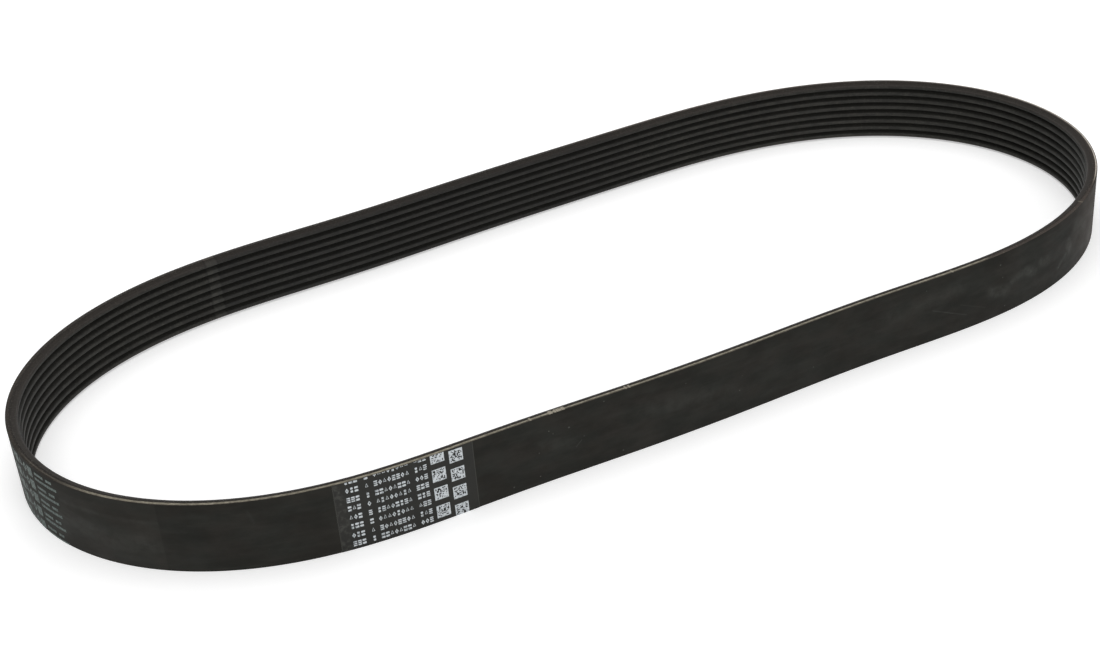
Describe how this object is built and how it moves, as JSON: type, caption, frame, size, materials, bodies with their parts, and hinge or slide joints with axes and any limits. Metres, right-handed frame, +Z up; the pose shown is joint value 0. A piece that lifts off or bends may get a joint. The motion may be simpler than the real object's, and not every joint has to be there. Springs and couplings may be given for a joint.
{
  "type": "serpentine belt",
  "caption": "Black rubber multi-ribbed serpentine belt, one endless loop lying in a long rounded oval, with a smooth back outside and V-shaped ribs inside.",
  "frame": {"origin": "on the surface that the belt stands on, under the middle of the loop's bounding box", "axes": "+X along the loop's long direction, +Y across the loop, +Z up, across the belt's width"},
  "size_m": [0.4762, 0.1954, 0.0285],
  "materials": {
    "belt_rubber": "satin black rubber with a fine ground texture on the ribs"
  },
  "bodies": {
    "root": {"ribbed_belt": "belt_rubber"}
  },
  "joints": []
}
